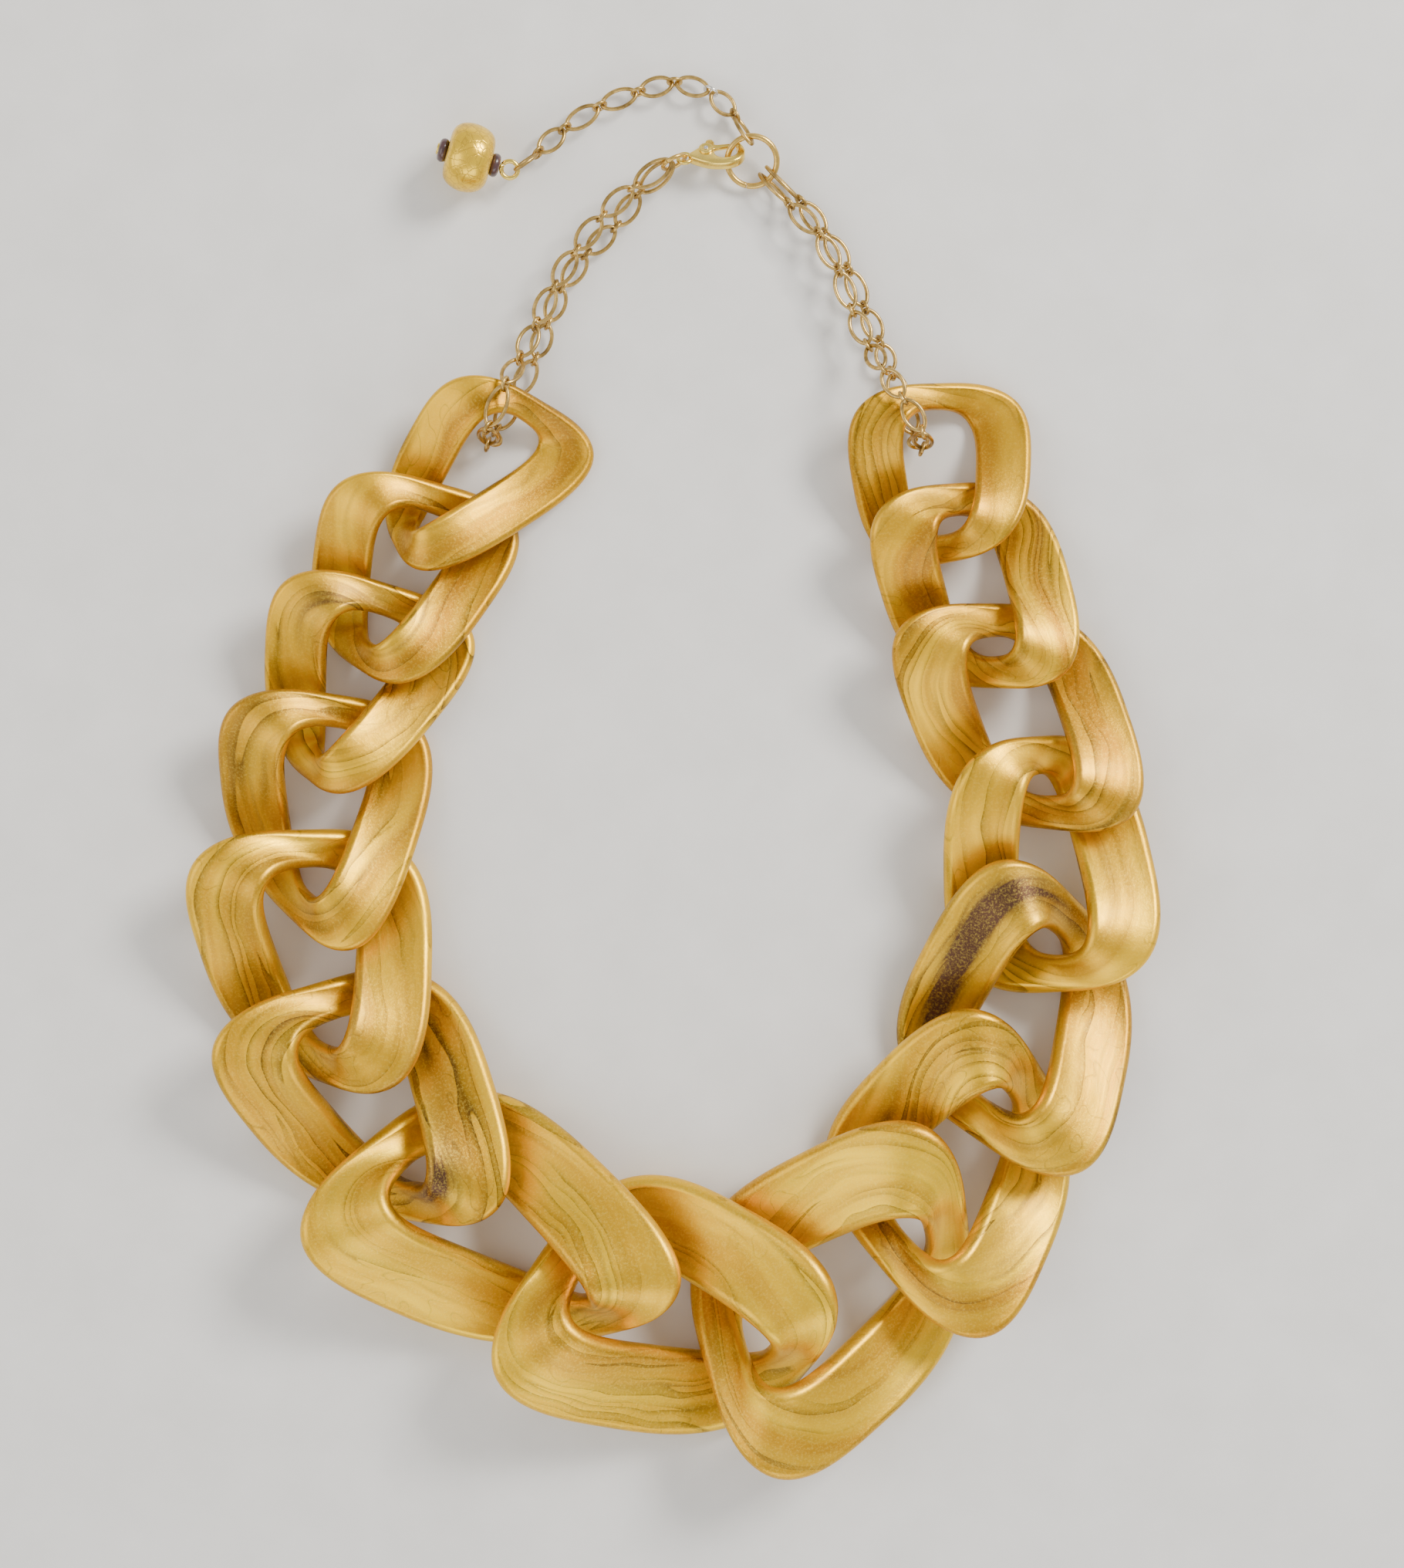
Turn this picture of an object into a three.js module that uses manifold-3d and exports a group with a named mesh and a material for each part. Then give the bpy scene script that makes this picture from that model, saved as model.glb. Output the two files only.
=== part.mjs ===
// Chunky curb-link necklace: fifteen graduated twisted clay links, doubled fine chain,
// lobster clasp, large ring and an extension chain that ends in a clay bead.
// Millimetres. +Z up, z = 0 is the table the necklace lies on, +Y points to the clasp.
import * as THREE from "three";
import { mergeVertices } from "three/addons/utils/BufferGeometryUtils.js";
import Module from "manifold-3d";

const wasm = await Module();
wasm.setup();
const { Manifold, Mesh } = wasm;

// ---------- Driving dimensions ----------

// Clay links, from the top of the left arm, round the bottom, to the top of the right arm.
// Each link is a slanted ring. Its band's centre line is given by four corners [x, y] seen
// from above: back outer, back inner, front inner, front outer, where "front" is the next link.
const CLAY_LINKS = [
  { band: 10.2, corners: [[-37, 70.5], [-15.5, 58], [-46.5, 36.5], [-52.5, 46]] },
  { band: 11.4, corners: [[-58, 52.5], [-30.5, 45], [-50, 16], [-64, 24]] },
  { band: 11.8, corners: [[-68, 35], [-38.5, 25.5], [-60.5, -3.5], [-71.5, 3]] },
  { band: 12.4, corners: [[-77.5, 12.5], [-47.5, 7.5], [-59.5, -32.5], [-77.5, -19.5]] },
  { band: 14.2, corners: [[-84.5, -15], [-52, -15], [-52, -57], [-76.5, -52]] },
  { band: 15.0, corners: [[-81.5, -47.5], [-48.5, -38.5], [-34, -79.5], [-61, -80]] },
  { band: 17.0, corners: [[-66.5, -81.5], [-40.5, -60.5], [-2, -94], [-26, -105.5]] },
  { band: 17.2, corners: [[-32.5, -106.5], [-12.5, -78.5], [27, -96.5], [13, -120]] },
  { band: 16.6, corners: [[15, -126.5], [3, -92], [45.5, -66], [52, -100]] },
  { band: 15.6, corners: [[52, -102], [27.5, -76.5], [54.5, -45], [70.5, -68.5]] },
  { band: 14.8, corners: [[69.5, -73], [42, -56.5], [59.5, -17.5], [80, -36]] },
  { band: 14.0, corners: [[82.5, -36], [56, -39.5], [54, 1.5], [76, 2.5]] },
  { band: 12.6, corners: [[80.5, -9], [55.5, -8], [41, 26], [70.5, 27]] },
  { band: 12.0, corners: [[68.5, 17], [47.5, 17], [37.5, 47], [62, 49.5]] },
  { band: 10.3, corners: [[58, 41], [39.5, 38], [33.5, 66], [60, 68]] },
];
const CORNER_POWER = 2.9;
const BAND_THICKNESS_RATIO = 0.275;
const LIFT_RATIO = 0.45;
const ROLL_DEGREES = 5;
const END_BAR_NARROWING = 0.48;
const PRESSED_FLAT = 0.5;
const LINK_STATIONS = 24;

// ---------- Shared shape helpers ----------

// Joins rings of points, each ring one section, into a closed loop of skin.
function closedSweep(rings) {
  const ringSize = rings[0].length;
  const positions = rings.flat().flatMap((point) => [point.x, point.y, point.z]);
  const index = [];
  for (let i = 0; i < rings.length; i++) {
    const next = (i + 1) % rings.length;
    for (let j = 0; j < ringSize; j++) {
      const side = (j + 1) % ringSize;
      const a = i * ringSize + j;
      const b = next * ringSize + j;
      const c = next * ringSize + side;
      const d = i * ringSize + side;
      index.push(a, b, c, a, c, d);
    }
  }
  const geometry = new THREE.BufferGeometry();
  geometry.setAttribute("position", new THREE.Float32BufferAttribute(positions, 3));
  geometry.setIndex(index);
  return geometry;
}

function signedPower(value, power) {
  return Math.sign(value) * Math.pow(Math.abs(value), power);
}

// ---------- Clay links ----------

function linkThickness(link) {
  return link.band * BAND_THICKNESS_RATIO;
}

function linkLift(link) {
  return link.band * LIFT_RATIO;
}

// Height of a link's mid plane when its two low corners rest, pressed flat, on the table.
function linkMiddle(link) {
  const probe = clayLinkRings(link, 0).flat();
  const lowest = Math.min(...probe.map((point) => point.z));
  return -lowest - PRESSED_FLAT;
}

// A four-cornered outline with its bars moved out (or in, when negative) from its middle.
// Bars 0 and 2 are the end bars, bars 1 and 3 the side bars.
function offsetCorners(corners, sideBarOffset, endBarOffset) {
  const centreX = corners.reduce((sum, [x]) => sum + x, 0) / corners.length;
  const centreY = corners.reduce((sum, [, y]) => sum + y, 0) / corners.length;
  const bars = corners.map(([x, y], i) => {
    const [nextX, nextY] = corners[(i + 1) % corners.length];
    const length = Math.hypot(nextX - x, nextY - y);
    const direction = [(nextX - x) / length, (nextY - y) / length];
    const facing = Math.sign((x - centreX) * direction[1] - (y - centreY) * direction[0]);
    const offset = facing * (i % 2 === 0 ? endBarOffset : sideBarOffset);
    return { x: x + direction[1] * offset, y: y - direction[0] * offset, direction };
  });
  return bars.map((bar, i) => {
    const before = bars[(i + bars.length - 1) % bars.length];
    const cross = before.direction[0] * bar.direction[1] - before.direction[1] * bar.direction[0];
    const gapX = bar.x - before.x;
    const gapY = bar.y - before.y;
    const reach = (gapX * bar.direction[1] - gapY * bar.direction[0]) / cross;
    return [before.x + before.direction[0] * reach, before.y + before.direction[1] * reach];
  });
}

// The place at a turn round a rounded outline: along runs back to front, across outer to inner.
function outlinePoint(corners, along, across) {
  const weights = [
    ((1 - along) * (1 - across)) / 4,
    ((1 - along) * (1 + across)) / 4,
    ((1 + along) * (1 + across)) / 4,
    ((1 + along) * (1 - across)) / 4,
  ];
  const x = weights.reduce((sum, weight, k) => sum + weight * corners[k][0], 0);
  const y = weights.reduce((sum, weight, k) => sum + weight * corners[k][1], 0);
  return new THREE.Vector3(x, y, 0);
}

// The band lies between an outer outline and the hole's outline, and rises and falls twice.
function clayLinkRings(link, middle) {
  const sideHalf = link.band / 2;
  const endHalf = sideHalf * (1 - END_BAR_NARROWING);
  const outerCorners = offsetCorners(link.corners, sideHalf, endHalf);
  const holeCorners = offsetCorners(link.corners, -sideHalf, -endHalf);
  const cornerReach = Math.pow(0.5, 2 / CORNER_POWER);
  const lift = linkLift(link);

  function bandAt(turn) {
    const along = signedPower(Math.cos(turn), 2 / CORNER_POWER);
    const across = signedPower(Math.sin(turn), 2 / CORNER_POWER);
    const outer = outlinePoint(outerCorners, along, across);
    const hole = outlinePoint(holeCorners, along, across);
    const saddle = (along * across) / cornerReach;
    const point = outer.clone().add(hole).multiplyScalar(0.5);
    point.z = middle + lift * saddle;
    return { point, saddle, span: outer.sub(hole) };
  }

  const rings = [];
  const stepAngle = 0.02;
  for (let i = 0; i < LINK_STATIONS; i++) {
    const turn = ((i + 0.5) / LINK_STATIONS) * Math.PI * 2;
    const { point, saddle, span } = bandAt(turn);
    const ahead = bandAt(turn + stepAngle).point;
    const behind = bandAt(turn - stepAngle).point;
    const tangent = ahead.clone().sub(behind).normalize();
    const halfWidth = span.length() / 2;
    const outward = span.normalize();
    const face = new THREE.Vector3().crossVectors(outward, tangent).normalize();
    const roll = THREE.MathUtils.degToRad(ROLL_DEGREES) * saddle;
    outward.applyAxisAngle(tangent, roll);
    face.applyAxisAngle(tangent, roll);
    rings.push(bandSection(point, outward, face, halfWidth, linkThickness(link) / 2));
  }
  return rings;
}

// Flat-topped oval section with eight points.
function bandSection(centre, outward, face, halfWidth, halfThickness) {
  const shoulderWidth = 0.8;
  const shoulderHeight = 0.88;
  const outline = [
    [1, 0],
    [shoulderWidth, shoulderHeight],
    [0, 1],
    [-shoulderWidth, shoulderHeight],
    [-1, 0],
    [-shoulderWidth, -shoulderHeight],
    [0, -1],
    [shoulderWidth, -shoulderHeight],
  ];
  return outline.map(([w, t]) =>
    centre
      .clone()
      .addScaledVector(outward, w * halfWidth)
      .addScaledVector(face, t * halfThickness),
  );
}

function clayLink(link) {
  const rings = clayLinkRings(link, linkMiddle(link));
  for (const ring of rings) {
    for (const point of ring) point.z = Math.max(point.z, 0);
  }
  return closedSweep(rings);
}

// ---------- Fine chain ----------

// The long-and-short chain: flat ovals linked by small rounds.
const WIRE = 0.8;
const OVAL_WIDTH = 4.4;
const ROUND_RADIUS = 1.05;
const JOINT_ROUND_RADIUS = 1.9;
const FUSED_INSET = 0.35;
const CARRYING_INSET = 1.15;
const HANGING_INSET = 0.5;
const OVAL_STATIONS = 8;
const ROUND_STATIONS = 8;
const ROUND_TILT = 72;

// Each run is one node: the points where its ovals meet, in order. A run that "carries"
// ends in the bigger round that the next run's first oval hangs in.
const CHAIN_RUNS = [
  {
    name: "left_chain_loop",
    roll: 12,
    points: [
      [-25.9, 80.2, 5.0],
      [-28.8, 73.9, 6.6],
      [-31.0, 68.6, 12.9],
      [-34.1, 60.8, 12.9],
      [-34.7, 58.4, 5.6],
      [-33.4, 61.2, 2.2],
      [-29.8, 67.4, 2.2],
      [-26.3, 74.2, 2.2],
      [-23.9, 80.8, 2.2],
    ],
    start: "carries",
    end: "carries",
  },
  {
    name: "left_front_strand",
    roll: 14,
    points: [[-25.9, 80.2, 5.0], [-22.7, 87.0, 5.0], [-18.7, 93.5, 5.0]],
    start: "hangs",
    end: "carries",
  },
  {
    name: "left_back_strand",
    roll: 14,
    points: [[-23.9, 80.8, 2.2], [-21.2, 87.3, 2.2], [-16.9, 93.2, 2.2]],
    start: "hangs",
    end: "carries",
  },
  {
    name: "left_front_strand_end",
    roll: 14,
    points: [[-18.7, 93.5, 5.0], [-14.0, 99.6, 5.0], [-8.2, 104.9, 5.0], [-1.45, 109.4, 5.55]],
    start: "hangs",
    end: "plain",
  },
  {
    name: "left_back_strand_end",
    roll: 14,
    points: [[-16.9, 93.2, 2.2], [-11.5, 98.2, 2.2], [-7.2, 104.2, 2.7], [-1.15, 109.4, 4.3]],
    start: "hangs",
    end: "plain",
  },
  {
    name: "right_chain_loop",
    roll: 12,
    points: [
      [31.5, 82.7, 5.0],
      [34.3, 76.2, 6.6],
      [36.6, 71.4, 12.2],
      [40.2, 66.0, 13.6],
      [43.8, 60.0, 12.8],
      [44.2, 57.6, 5.6],
      [43.0, 60.4, 2.2],
      [41.0, 66.2, 2.2],
      [38.8, 71.6, 2.2],
      [36.7, 77.2, 2.2],
      [33.9, 83.5, 2.2],
    ],
    start: "carries",
    end: "carries",
  },
  {
    name: "right_front_strand",
    roll: 14,
    points: [[31.5, 82.7, 5.0], [28.9, 89.9, 5.0], [25.4, 96.5, 5.0]],
    start: "hangs",
    end: "carries",
  },
  {
    name: "right_back_strand",
    roll: 14,
    points: [[33.9, 83.5, 2.2], [30.9, 90.5, 2.2], [26.8, 96.8, 2.2]],
    start: "hangs",
    end: "carries",
  },
  {
    name: "right_front_strand_end",
    roll: 14,
    endRoll: 69,
    points: [[25.4, 96.5, 5.0], [20.0, 102.0, 4.0], [14.75, 107.7, 2.0]],
    start: "hangs",
    end: "plain",
  },
  {
    name: "right_back_strand_end",
    roll: 14,
    endRoll: 79,
    points: [[26.8, 96.8, 2.2], [22.2, 102.8, 2.2], [15.95, 108.85, 2.75]],
    start: "hangs",
    end: "plain",
  },
  {
    name: "extension_first",
    roll: 67,
    endRoll: 14,
    points: [[13.1, 112.55, 5.45], [10.2, 118.2, 2.45], [5.8, 122.6, 2.2]],
    start: "plain",
    end: "carries",
  },
  {
    name: "extension_second",
    roll: 14,
    points: [[5.8, 122.6, 2.2], [-0.8, 124.3, 2.2], [-7.4, 122.5, 2.2]],
    start: "hangs",
    end: "carries",
  },
  {
    name: "extension_third",
    roll: 14,
    points: [[-7.4, 122.5, 2.2], [-14.4, 119.9, 2.2], [-20.8, 115.9, 2.2]],
    start: "hangs",
    end: "carries",
  },
  {
    name: "extension_last",
    roll: 14,
    endRoll: 72,
    points: [[-20.8, 115.9, 2.2], [-25.6, 111.4, 3.0], [-29.45, 107.9, 5.85]],
    start: "hangs",
    end: "plain",
  },
];

// A closed wire loop in the plane of two unit vectors.
function wireLoop(centre, along, across, halfLength, halfWidth, wireRadius, stations) {
  const sides = 4;
  const normal = new THREE.Vector3().crossVectors(along, across).normalize();
  const rings = [];
  for (let i = 0; i < stations; i++) {
    const turn = (i / stations) * Math.PI * 2;
    const middle = centre
      .clone()
      .addScaledVector(along, halfLength * Math.cos(turn))
      .addScaledVector(across, halfWidth * Math.sin(turn));
    const outward = new THREE.Vector3()
      .addScaledVector(along, halfWidth * Math.cos(turn))
      .addScaledVector(across, halfLength * Math.sin(turn))
      .normalize();
    const ring = [];
    for (let j = 0; j < sides; j++) {
      const angle = (j / sides) * Math.PI * 2;
      ring.push(
        middle
          .clone()
          .addScaledVector(outward, wireRadius * Math.cos(angle))
          .addScaledVector(normal, wireRadius * Math.sin(angle)),
      );
    }
    rings.push(ring);
  }
  return closedSweep(rings);
}

// The sideways unit vector of a loop that runs along "along", rolled about that line.
function sideways(along, rollDegrees) {
  const isUpright = Math.abs(along.z) > 0.8;
  const reference = isUpright ? new THREE.Vector3(0, 1, 0) : new THREE.Vector3(0, 0, 1);
  const across = new THREE.Vector3().crossVectors(reference, along).normalize();
  return across.applyAxisAngle(along, THREE.MathUtils.degToRad(rollDegrees));
}

function endInset(kind) {
  if (kind === "carries") return CARRYING_INSET;
  if (kind === "hangs") return HANGING_INSET;
  return 0;
}

// The next run's second point, so that a carrying round lies in line with both its ovals.
function pointBeyond(run, end) {
  const shared = run.points[end].join();
  const next = CHAIN_RUNS.find((other) => other !== run && other.points[0].join() === shared);
  return new THREE.Vector3(...(next ? next.points[1] : run.points[end]));
}

function chainRun(run) {
  const points = run.points.map((p) => new THREE.Vector3(...p));
  const last = points.length - 1;
  const pieces = [];
  for (let k = 0; k < last; k++) {
    const along = points[k + 1].clone().sub(points[k]);
    const pitch = along.length();
    along.normalize();
    const startInset = k === 0 ? endInset(run.start) : FUSED_INSET;
    const finishInset = k === last - 1 ? endInset(run.end) : FUSED_INSET;
    const halfLength = (pitch - startInset - finishInset) / 2;
    const centre = points[k].clone().addScaledVector(along, startInset + halfLength);
    const share = last > 1 ? k / (last - 1) : 0;
    const roll = THREE.MathUtils.lerp(run.roll, run.endRoll ?? run.roll, share);
    const across = sideways(along, roll);
    const halfWidth = (OVAL_WIDTH - WIRE) / 2;
    pieces.push(
      wireLoop(centre, along, across, halfLength, halfWidth, WIRE / 2, OVAL_STATIONS),
    );
  }
  for (let k = 0; k <= last; k++) {
    const atEnd = k === 0 || k === last;
    const kind = k === 0 ? run.start : run.end;
    if (atEnd && kind !== "carries") continue;
    const before = k === 0 ? pointBeyond(run, 0) : points[k - 1];
    const after = k === last ? pointBeyond(run, last) : points[k + 1];
    const along = after.clone().sub(before).normalize();
    const across = sideways(along, -ROUND_TILT);
    const radius = atEnd ? JOINT_ROUND_RADIUS : ROUND_RADIUS;
    pieces.push(wireLoop(points[k], along, across, radius, radius, WIRE / 2, ROUND_STATIONS));
  }
  return fuse(pieces);
}

// ---------- Booleans ----------

function toManifold(geometry) {
  const flat = geometry.index ? geometry : mergeVertices(geometry, 1e-4);
  const mesh = new Mesh({
    numProp: 3,
    vertProperties: new Float32Array(flat.getAttribute("position").array),
    triVerts: new Uint32Array(flat.index.array),
  });
  return new Manifold(mesh);
}

function fromManifold(solid) {
  const mesh = solid.getMesh();
  const geometry = new THREE.BufferGeometry();
  const positions = new Float32Array(mesh.vertProperties);
  geometry.setAttribute("position", new THREE.BufferAttribute(positions, 3));
  geometry.setIndex(new THREE.BufferAttribute(new Uint32Array(mesh.triVerts), 1));
  return geometry;
}

function positionOnly(geometry) {
  const bare = new THREE.BufferGeometry();
  const source = geometry.index ? geometry.toNonIndexed() : geometry;
  bare.setAttribute("position", source.getAttribute("position"));
  return mergeVertices(bare, 1e-4);
}

function fuse(geometries) {
  const solids = geometries.map((geometry) => toManifold(positionOnly(geometry)));
  return fromManifold(solids.reduce((whole, solid) => whole.add(solid)));
}

function cut(geometry, tools) {
  const body = toManifold(positionOnly(geometry));
  const solids = tools.map((tool) => toManifold(positionOnly(tool)));
  return fromManifold(solids.reduce((whole, solid) => whole.subtract(solid), body));
}

// ---------- Large ring, jump ring and clasp ----------

const LARGE_RING = { centre: [13.3, 109.8, 3.4], radius: 4.5, wire: 1.1 };
const LARGE_RING_HEADING = -5;
const LARGE_RING_TILT = 20;
const JUMP_RING = { centre: [-0.9, 109.35, 4.85], radius: 2.2, wire: 0.8 };
const JUMP_RING_HEADING = 26;
const JUMP_RING_TILT = 79.5;
const RING_STATIONS = 24;
const CLASP_HEADING = 3;
const CLASP_ROLL = -39.5;
const CLASP_TAIL = { centre: [1.03, 110.15, 4.15], radius: 1.2, wire: 0.8 };
const CLASP_THICKNESS = 1.6;
const BOSS = { x: 4.0, y: 1.2, radius: 1.5, height: 2.8 };
const LEVER_THICKNESS = 0.7;
const LEVER_SLOT = 1.3;
const PIN_RADIUS = 0.35;
const PIN_CLEARANCE = 0.08;
const SPRING = { radius: 0.68, wire: 0.2 };

// Outline of the clasp's fixed body, from its tail round the belly to the hook tip.
const CLASP_BODY_OUTLINE = [
  [0.9, -0.5], [3.0, -2.0], [5.5, -2.6], [8.5, -2.5], [10.4, -1.3], [11.0, 0.4],
  [10.7, 1.9], [9.9, 2.9], [9.35, 2.1], [9.7, 0.8], [9.3, -0.4], [8.0, -1.0],
  [6.3, -0.9], [5.5, 0.0], [5.2, 1.3], [4.4, 2.5], [2.6, 1.9], [0.9, 0.5],
];
// Outline of the spring lever: hub, thumb knob and the gate that closes the hook.
const LEVER_OUTLINE = [
  [3.2, 0.7], [4.0, 0.3], [4.8, 0.7], [5.5, 1.8], [9.0, 2.3], [9.0, 3.0],
  [5.6, 3.0], [5.4, 4.0], [4.6, 4.4], [3.9, 3.9], [3.6, 2.6], [3.1, 1.8],
];
// The space the lever moves in, cut out of the body between its two cheeks.
const SLOT_OUTLINE = [
  [2.6, 0.5], [4.0, -0.2], [5.2, -0.2], [6.2, 0.6], [6.2, 3.2], [2.6, 3.2],
];

function vector(list) {
  return new THREE.Vector3(...list);
}

function ringLoop({ centre, radius, wire }, along, across) {
  return wireLoop(vector(centre), along, across, radius, radius, wire / 2, RING_STATIONS);
}

function plate(outline, thickness) {
  const shape = new THREE.Shape(outline.map(([x, y]) => new THREE.Vector2(x, y)));
  const geometry = new THREE.ExtrudeGeometry(shape, { depth: thickness, bevelEnabled: false });
  return geometry.translate(0, 0, -thickness / 2);
}

function uprightCylinder(x, y, radius, height) {
  const geometry = new THREE.CylinderGeometry(radius, radius, height, 16);
  return geometry.rotateX(Math.PI / 2).translate(x, y, 0);
}

const claspFrame = new THREE.Matrix4()
  .makeTranslation(...CLASP_TAIL.centre)
  .multiply(new THREE.Matrix4().makeRotationZ(THREE.MathUtils.degToRad(CLASP_HEADING)))
  .multiply(new THREE.Matrix4().makeRotationX(THREE.MathUtils.degToRad(CLASP_ROLL)));

function claspBody() {
  const X = new THREE.Vector3(1, 0, 0);
  const Y = new THREE.Vector3(0, 1, 0);
  const tail = { ...CLASP_TAIL, centre: [0, 0, 0] };
  const solid = fuse([
    plate(CLASP_BODY_OUTLINE, CLASP_THICKNESS),
    uprightCylinder(BOSS.x, BOSS.y, BOSS.radius, BOSS.height),
    ringLoop(tail, X, Y),
  ]);
  return cut(solid, [
    plate(SLOT_OUTLINE, LEVER_SLOT),
    uprightCylinder(BOSS.x, BOSS.y, PIN_RADIUS + PIN_CLEARANCE, BOSS.height + 1),
  ]);
}

function claspLever() {
  const hole = uprightCylinder(BOSS.x, BOSS.y, PIN_RADIUS + PIN_CLEARANCE, LEVER_THICKNESS + 1);
  return cut(plate(LEVER_OUTLINE, LEVER_THICKNESS), [hole]);
}

function claspSpring() {
  const coil = new THREE.TorusGeometry(SPRING.radius, SPRING.wire / 2, 5, 14);
  return coil.translate(BOSS.x, BOSS.y, (LEVER_SLOT + LEVER_THICKNESS) / 4);
}

// ---------- Bead and headpin ----------

const BEAD_CENTRE = [-37.9, 109.9, 6.3];
const PIN_HEADING = 165;
const PIN_RISE = 8;
const BEAD = { radius: 6.3, length: 8.4, bore: 0.7 };
const SEED = { radius: 1.9, length: 1.8, bore: 0.7 };
const SEED_GAP = 0.2;
const HEADPIN = { radius: 0.4, headRadius: 1.1, headThickness: 0.6, loopRadius: 1.5 };
const HEADPIN_NECK = 0.7;
const HEADPIN_LOOP_ROLL = -11;
const BEAD_SEGMENTS = 24;
const SMALL_SEGMENTS = 14;

// A bead with a bore, turned about its own pin line.
function turnedBead({ radius, length, bore }, fullness, steps, segments) {
  const profile = [new THREE.Vector2(bore, -length / 2)];
  for (let i = 1; i < steps; i++) {
    const turn = (i / steps) * Math.PI;
    const reach = Math.pow(Math.sin(turn), fullness);
    const across = bore + (radius - bore) * reach;
    profile.push(new THREE.Vector2(across, (-Math.cos(turn) * length) / 2));
  }
  profile.push(new THREE.Vector2(bore, length / 2));
  profile.push(profile[0].clone());
  return new THREE.LatheGeometry(profile, segments);
}

const pinFrame = new THREE.Matrix4()
  .makeTranslation(...BEAD_CENTRE)
  .multiply(new THREE.Matrix4().makeRotationZ(THREE.MathUtils.degToRad(PIN_HEADING - 90)))
  .multiply(new THREE.Matrix4().makeRotationX(THREE.MathUtils.degToRad(PIN_RISE)));

// Along the pin, local +Y runs from the loop, through the beads, to the pin's head.
function headpin() {
  const beadHalf = BEAD.length / 2;
  const seedReach = beadHalf + 2 * SEED_GAP + SEED.length;
  const headAt = seedReach + HEADPIN.headThickness / 2;
  const loopAt = -seedReach - HEADPIN.loopRadius - HEADPIN_NECK;
  const shaftStart = loopAt + HEADPIN.loopRadius;
  const shaftLength = headAt - shaftStart;
  const shaft = new THREE.CylinderGeometry(HEADPIN.radius, HEADPIN.radius, shaftLength, 12)
    .translate(0, shaftStart + shaftLength / 2, 0);
  const head = new THREE.CylinderGeometry(
    HEADPIN.headRadius,
    HEADPIN.headRadius,
    HEADPIN.headThickness,
    SMALL_SEGMENTS,
  ).translate(0, headAt, 0);
  const loopRoll = THREE.MathUtils.degToRad(HEADPIN_LOOP_ROLL);
  const loop = wireLoop(
    new THREE.Vector3(0, loopAt, 0),
    new THREE.Vector3(0, 1, 0),
    new THREE.Vector3(Math.cos(loopRoll), 0, -Math.sin(loopRoll)),
    HEADPIN.loopRadius,
    HEADPIN.loopRadius,
    HEADPIN.radius,
    16,
  );
  return fuse([shaft, head, loop]);
}

// ---------- Assembly ----------

const CLAY = new THREE.MeshStandardMaterial({ color: 0xc99a3c, roughness: 0.35 });
const DARK_CLAY = new THREE.MeshStandardMaterial({ color: 0x4a2f2a, roughness: 0.4 });
const BRASS = new THREE.MeshStandardMaterial({ color: 0xa08445, metalness: 1, roughness: 0.4 });
const GOLD = new THREE.MeshStandardMaterial({ color: 0xd9b04a, metalness: 1, roughness: 0.25 });
const STEEL = new THREE.MeshStandardMaterial({ color: 0xb8bcc0, metalness: 1, roughness: 0.3 });

const necklace = new THREE.Group();
necklace.name = "necklace";

function addNode(name, geometry, material, frame) {
  const mesh = new THREE.Mesh(frame ? geometry.applyMatrix4(frame) : geometry, material);
  mesh.name = name;
  necklace.add(mesh);
}

CLAY_LINKS.forEach((link, i) => {
  addNode(`clay_link_${String(i + 1).padStart(2, "0")}`, clayLink(link), CLAY);
});

for (const run of CHAIN_RUNS) addNode(run.name, chainRun(run), BRASS);

// A ring whose plane holds the level line at "heading" and is tipped about it by "tilt".
function tippedRing(ring, heading, tilt) {
  const turn = THREE.MathUtils.degToRad(heading);
  const along = new THREE.Vector3(Math.cos(turn), Math.sin(turn), 0);
  const level = new THREE.Vector3(-Math.sin(turn), Math.cos(turn), 0);
  return ringLoop(ring, along, level.applyAxisAngle(along, THREE.MathUtils.degToRad(tilt)));
}

addNode("large_ring", tippedRing(LARGE_RING, LARGE_RING_HEADING, LARGE_RING_TILT), BRASS);
addNode("jump_ring", tippedRing(JUMP_RING, JUMP_RING_HEADING, JUMP_RING_TILT), BRASS);
addNode("clasp_body", claspBody(), GOLD, claspFrame);
addNode("clasp_lever", claspLever(), GOLD, claspFrame);
addNode("clasp_pin", uprightCylinder(BOSS.x, BOSS.y, PIN_RADIUS, BOSS.height), STEEL, claspFrame);
addNode("clasp_spring", claspSpring(), STEEL, claspFrame);

addNode("headpin", headpin(), GOLD, pinFrame);
addNode("bead", turnedBead(BEAD, 0.55, 8, BEAD_SEGMENTS), CLAY, pinFrame);
const seedOffset = BEAD.length / 2 + SEED_GAP + SEED.length / 2;
for (const [name, offset] of [["seed_bead_inner", -seedOffset], ["seed_bead_outer", seedOffset]]) {
  const seed = turnedBead(SEED, 0.7, 5, SMALL_SEGMENTS).translate(0, offset, 0);
  addNode(name, seed, DARK_CLAY, pinFrame);
}

// The origin is the middle of the necklace's footprint, on the table.
const reach = new THREE.Box3().setFromObject(necklace);
const middleX = (reach.min.x + reach.max.x) / 2;
const middleY = (reach.min.y + reach.max.y) / 2;
necklace.position.set(-middleX, -middleY, -reach.min.z);

export default necklace;
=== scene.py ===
import math

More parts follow.
